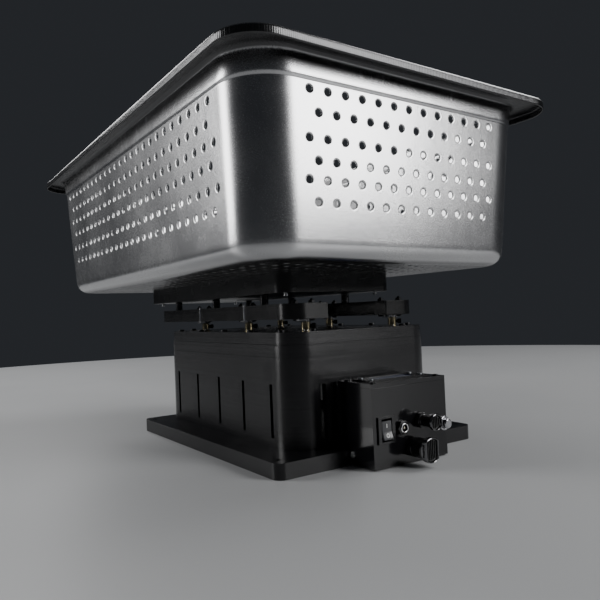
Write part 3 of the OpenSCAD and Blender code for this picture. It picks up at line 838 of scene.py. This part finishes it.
side_screws()


def set_screws():
    """Knurled cap screws that stand out of the side of each collar."""
    out = Vector((math.cos(math.radians(-40)), math.sin(math.radians(-40)), 0))
    for i in range(1, 7):
        name = f"set_screw_{i}"
        lo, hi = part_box(name)
        clo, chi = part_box(f"collar_{i}")
        centre = (clo + chi) / 2
        centre.z = (lo.z + hi.z) / 2
        bm = bmesh.new()
        at = frame_at(centre + out * 0.0052, out)

        def knurl(r, h, a):
            if r > 0.0022 and 0.0002 < h < 0.0033:
                return r * (1 - 0.035 * (0.5 + 0.5 * math.cos(24 * a)))
            if h > 0.0015 and r <= 0.00121:
                return hexagon(r, a) * 0.9
            return r
        profile = [(0.0, -0.0026), (0.0013, -0.0026), (0.0015, -0.0024), (0.0015, 0.0), (0.0022, 0.0),
                   (0.0024, 0.0003), (0.0024, 0.0018), (0.0024, 0.0032), (0.00225, 0.0036),
                   (0.0013, 0.0036), (0.0012, 0.0035), (0.0012, 0.0018), (0.0, 0.0018)]
        revolve(bm, profile, at, 96, radius_fn=knurl)
        ob = from_bmesh(name + "_skin", bm, 40)
        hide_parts(name)
        finish_piece(ob, body_name(name), slot_name(name), MAT["black_screw"])


set_screws()


# ---------- controls ----------

def knob(node_name, skirt_r, skirt_h, barrel_r, f, end_len, half_flat, ribs, flutes):
    """Fluted knob on a hollow skirt; its end, of radius f, is rimmed and ribbed with two flats."""
    lo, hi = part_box(node_name)
    cx, cz = (lo.x + hi.x) / 2, (lo.z + hi.z) / 2
    length = hi.y - lo.y
    at = frame_at((cx, hi.y, cz), (0, -1, 0), (1, 0, 0))
    neck = length - end_len
    bm = bmesh.new()

    def flats(r, h, a):
        lim = (half_flat - (f - r)) / max(abs(math.cos(a)), 0.001)
        t = min(max((h - neck - 0.0008) / 0.0008, 0.0), 1.0)
        return r if lim >= r else r + (lim - r) * t

    def outline(r, h, a):
        if h > neck + 0.0008:
            return flats(r, h, a)
        if neck - 0.0012 > h > skirt_h + 0.0012 and r > barrel_r * 0.97:
            return r - 0.00035 * (0.5 + 0.5 * math.cos(flutes * a)) ** 2
        return r
    bore = skirt_r - 0.0008
    profile = [(0.0031, skirt_h - 0.0006), (bore, skirt_h - 0.0006), (bore, 0.0), (skirt_r - 0.0003, 0.0),
               (skirt_r, 0.0003), (skirt_r, skirt_h - 0.0004), (skirt_r - 0.0004, skirt_h)]
    if barrel_r < skirt_r - 0.0005:
        profile += [(barrel_r + 0.0004, skirt_h), (barrel_r, skirt_h + 0.0005)]
    profile += [(barrel_r, skirt_h + 0.001), (barrel_r, skirt_h + 0.0016), (barrel_r, neck - 0.0017),
                (barrel_r, neck - 0.001), (barrel_r + (f - barrel_r) * 0.2, neck - 0.0003),
                (barrel_r + (f - barrel_r) * 0.7, neck + 0.0004), (f - 0.0002, neck + 0.0012)]
    revolve(bm, profile, at, 120, radius_fn=outline, cap_high=False)
    rim = [(f - 0.0002, neck + 0.0012), (f, neck + 0.0017), (f, length - 0.0009),
           (f - 0.0003, length - 0.0002), (f - 0.0007, length), (f - 0.0011, length - 0.0003),
           (f - 0.0013, length - 0.0012)]
    # the rim ring takes the second material, a painted highlight
    revolve(bm, rim, at, 120, mat=1, cap_low=False, cap_high=False, radius_fn=flats)
    face = [(f - 0.0013, length - 0.0012), (f - 0.0016, length - 0.0018), (f * 0.4, length - 0.002),
            (0.0, length - 0.0021)]
    revolve(bm, face, at, 120, cap_low=False, cap_high=False, radius_fn=flats)
    bmesh.ops.remove_doubles(bm, verts=bm.verts, dist=1e-6)
    # raised ribs across the face
    inner = f - 0.0019
    reach = min(inner, half_flat - 0.0019)
    pitch = 2 * reach / (ribs + 0.3)
    for k in range(ribs):
        x = (k - (ribs - 1) / 2) * pitch
        half = math.sqrt(max(inner * inner - x * x, 0)) - 0.0004
        if half < 0.001:
            continue
        w, z0, z1 = pitch * 0.27, length - 0.0022, length - 0.0011
        rows = [(-w, z0), (-w * 0.9, z1 - 0.0003), (-w * 0.45, z1), (w * 0.45, z1), (w * 0.9, z1 - 0.0003),
                (w, z0)]
        ends = []
        for side in (-1, 1):
            ends.append([bm.verts.new(at @ Vector((x + dx, side * (half - (zz - z0) * 0.3), zz)))
                         for dx, zz in rows])
        for q in range(len(rows) - 1):
            bm.faces.new((ends[0][q], ends[0][q + 1], ends[1][q + 1], ends[1][q]))
        bm.faces.new((ends[0][0], ends[1][0], ends[1][-1], ends[0][-1]))
        bm.faces.new(ends[0])
        bm.faces.new(list(reversed(ends[1])))
    ob = from_bmesh(node_name + "_skin", bm, 38)
    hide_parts(node_name)
    finish_piece(ob, body_name(node_name), slot_name(node_name), MAT["knob_black"], KNOB_RIM_PAINTED_HIGHLIGHT)


# painted highlight: the rim's lighter grey metal stands in for the light that the knob's black plastic rim
# catches
KNOB_RIM_PAINTED_HIGHLIGHT = metal("knob_rim_painted_highlight", (0.22, 0.22, 0.225), 0.16, scale=1500)
knob("speed_knob", 0.0082, 0.0046, 0.0082, 0.0103, 0.006, 0.0071, 5, 22)
knob("timer_knob", 0.0066, 0.0044, 0.0048, 0.007, 0.004, 0.007, 5, 16)


def paint_white():
    """Slightly uneven white paint for the marks."""
    mat = bpy.data.materials.new("paint_white")
    t, b = nodes_of(mat)
    n = noise(t, coords(t), 2500, 3.0)
    paint = mix_color(t, ramp(t, n, 0.3, 0.7), (0.68, 0.68, 0.67), (0.8, 0.8, 0.79))
    t.links.new(paint, b.inputs["Base Color"])
    b.inputs["Roughness"].default_value = 0.5
    return mat


def rocker():
    """Rocker cap with a saddle-shaped face and generic on and off marks."""
    lo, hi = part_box("power_rocker")
    cx = (lo.x + hi.x) / 2
    pivot_y = hi.y - 0.003
    pivot_z = (lo.z + hi.z) / 2
    half = 0.005
    # the cap's side outline in mm about its pivot, height first: the face, then the back
    prof = [(7.35, -2.35), (7.2, -2.65), (5.0, -2.72), (2.5, -2.72), (0.6, -2.72), (-0.8, -2.85),
            (-2.4, -3.25), (-4.0, -3.78), (-5.6, -4.3), (-7.0, -4.82), (-7.35, -4.75), (-7.45, -4.4)]
    rear = [(-6.8, -1.0), (-3.4, 2.9), (3.4, 2.9), (6.8, -1.0)]
    pts = [(z * MM, y * MM) for z, y in prof + rear]
    bm = bmesh.new()
    rings = []
    for c in (-1.0, -0.93, -0.6, 0.0, 0.6, 0.93, 1.0):
        dip = 0.00018 * (1 - min(abs(c) / 0.93, 1) ** 2)
        edge = 0.00025 if abs(c) == 1.0 else 0.0
        ring = []
        for k, (z, y) in enumerate(pts):
            front = k < len(prof)
            yy = y + (dip + edge if front else 0)
            ring.append(bm.verts.new((cx + half * c, pivot_y + yy, pivot_z + z)))
        rings.append(ring)
    n = len(pts)
    for a, c in zip(rings, rings[1:]):
        for k in range(n):
            bm.faces.new((a[k], a[(k + 1) % n], c[(k + 1) % n], c[k]))
    bm.faces.new(rings[0])
    bm.faces.new(list(reversed(rings[-1])))
    for x0, x1 in ((-0.0063, -0.0049), (0.0049, 0.0063)):    # the pivot pins
        revolve(bm, [(0.001, x0), (0.001, x1)], frame_at((cx, pivot_y, pivot_z), (1, 0, 0)), 24)
    ob = from_bmesh("power_rocker_skin", bm, 32)
    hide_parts("power_rocker")
    finish_piece(ob, "rocker", "rocker_grey", MAT["rocker_grey"])

    def surface(z):
        """How far out the face is at height z, in mm."""
        for (z1, y1), (z0, y0) in zip(prof, prof[1:]):
            if z0 <= z <= z1 and z1 > z0:
                return y0 + (y1 - y0) * (z - z0) / (z1 - z0)
        return prof[0][1]

    def mark(name, outer, inner=None):
        """A painted mark in slight relief, with an optional hole through it."""
        bm = bmesh.new()
        m = len(outer)

        def vert(x, z, lift):
            return bm.verts.new((cx + x * MM, pivot_y + (surface(z) + 0.1 - lift) * MM, pivot_z + z * MM))
        o1 = [vert(x, z, 0.14) for x, z in outer]
        o0 = [vert(x, z, -0.1) for x, z in outer]
        if inner:
            i1 = [vert(x, z, 0.14) for x, z in inner]
            i0 = [vert(x, z, -0.1) for x, z in inner]
        for k in range(m):
            k2 = (k + 1) % m
            bm.faces.new((o0[k], o0[k2], o1[k2], o1[k]))
            if inner:
                bm.faces.new((i0[k], i0[k2], i1[k2], i1[k]))
                bm.faces.new((o1[k], o1[k2], i1[k2], i1[k]))
                bm.faces.new((o0[k], o0[k2], i0[k2], i0[k]))
        if not inner:
            bm.faces.new(o1)
            bm.faces.new(list(reversed(o0)))
        mob = from_bmesh(name, bm, 30)
        finish_piece(mob, "rocker", None, WHITE)

    mark("mark_on", [(-0.38, 1.9), (0.38, 1.9), (0.38, 5.0), (-0.38, 5.0)])
    ring = [(math.cos(2 * math.pi * k / 28), math.sin(2 * math.pi * k / 28)) for k in range(28)]
    mark("mark_off", *([(r * x, -4.1 + r * y) for x, y in ring] for r in (1.6, 0.95)))


WHITE = paint_white()
rocker()


def display_glass():
    """Blue-black window over a character display, with faint character cells."""
    mat = bpy.data.materials.new("window_glass")
    t, b = nodes_of(mat)
    v = coords(t, (1 / 0.0027, 1 / 0.0055, 1))
    brick = node(t, "TexBrick", offset=0.0)
    brick.inputs["Scale"].default_value = 1.0
    brick.inputs["Mortar Size"].default_value = 0.06
    brick.inputs["Brick Width"].default_value = 1.0
    brick.inputs["Row Height"].default_value = 1.0
    brick.inputs["Color1"].default_value = (0.02, 0.05, 0.17, 1)
    brick.inputs["Color2"].default_value = (0.024, 0.06, 0.2, 1)
    brick.inputs["Mortar"].default_value = (0.008, 0.02, 0.08, 1)
    t.links.new(v, brick.inputs["Vector"])
    smear = noise(t, coords(t), 160, 4.0)
    t.links.new(brick.outputs[0], b.inputs["Base Color"])
    t.links.new(ramp(t, smear, 0.35, 0.7, 0.05, 0.16), b.inputs["Roughness"])
    b.inputs["Coat Weight"].default_value = 0.6
    lo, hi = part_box("display_window")
    bm = bmesh.new()
    nx, ny = 16, 8
    grid = []
    for i in range(nx + 1):
        col = []
        for j in range(ny + 1):
            u, w = i / nx, j / ny
            edge = min(u, 1 - u) * nx, min(w, 1 - w) * ny
            drop = 0.0003 if min(edge) < 0.5 else 0.0
            crown = 0.00008 * math.sin(math.pi * u) * math.sin(math.pi * w)
            col.append(bm.verts.new((lo.x + (hi.x - lo.x) * u, lo.y + (hi.y - lo.y) * w,
                                     hi.z - 0.0001 - drop + crown)))
        grid.append(col)
    for i in range(nx):
        for j in range(ny):
            bm.faces.new((grid[i][j], grid[i + 1][j], grid[i + 1][j + 1], grid[i][j + 1]))
    ob = from_bmesh("display_window_skin", bm, 60)
    m = ob.modifiers.new("thickness", "SOLIDIFY")
    m.thickness = hi.z - lo.z - 0.0005
    m.offset = -1.0
    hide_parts("display_window")
    finish_piece(ob, "base", "window_glass", mat)


display_glass()
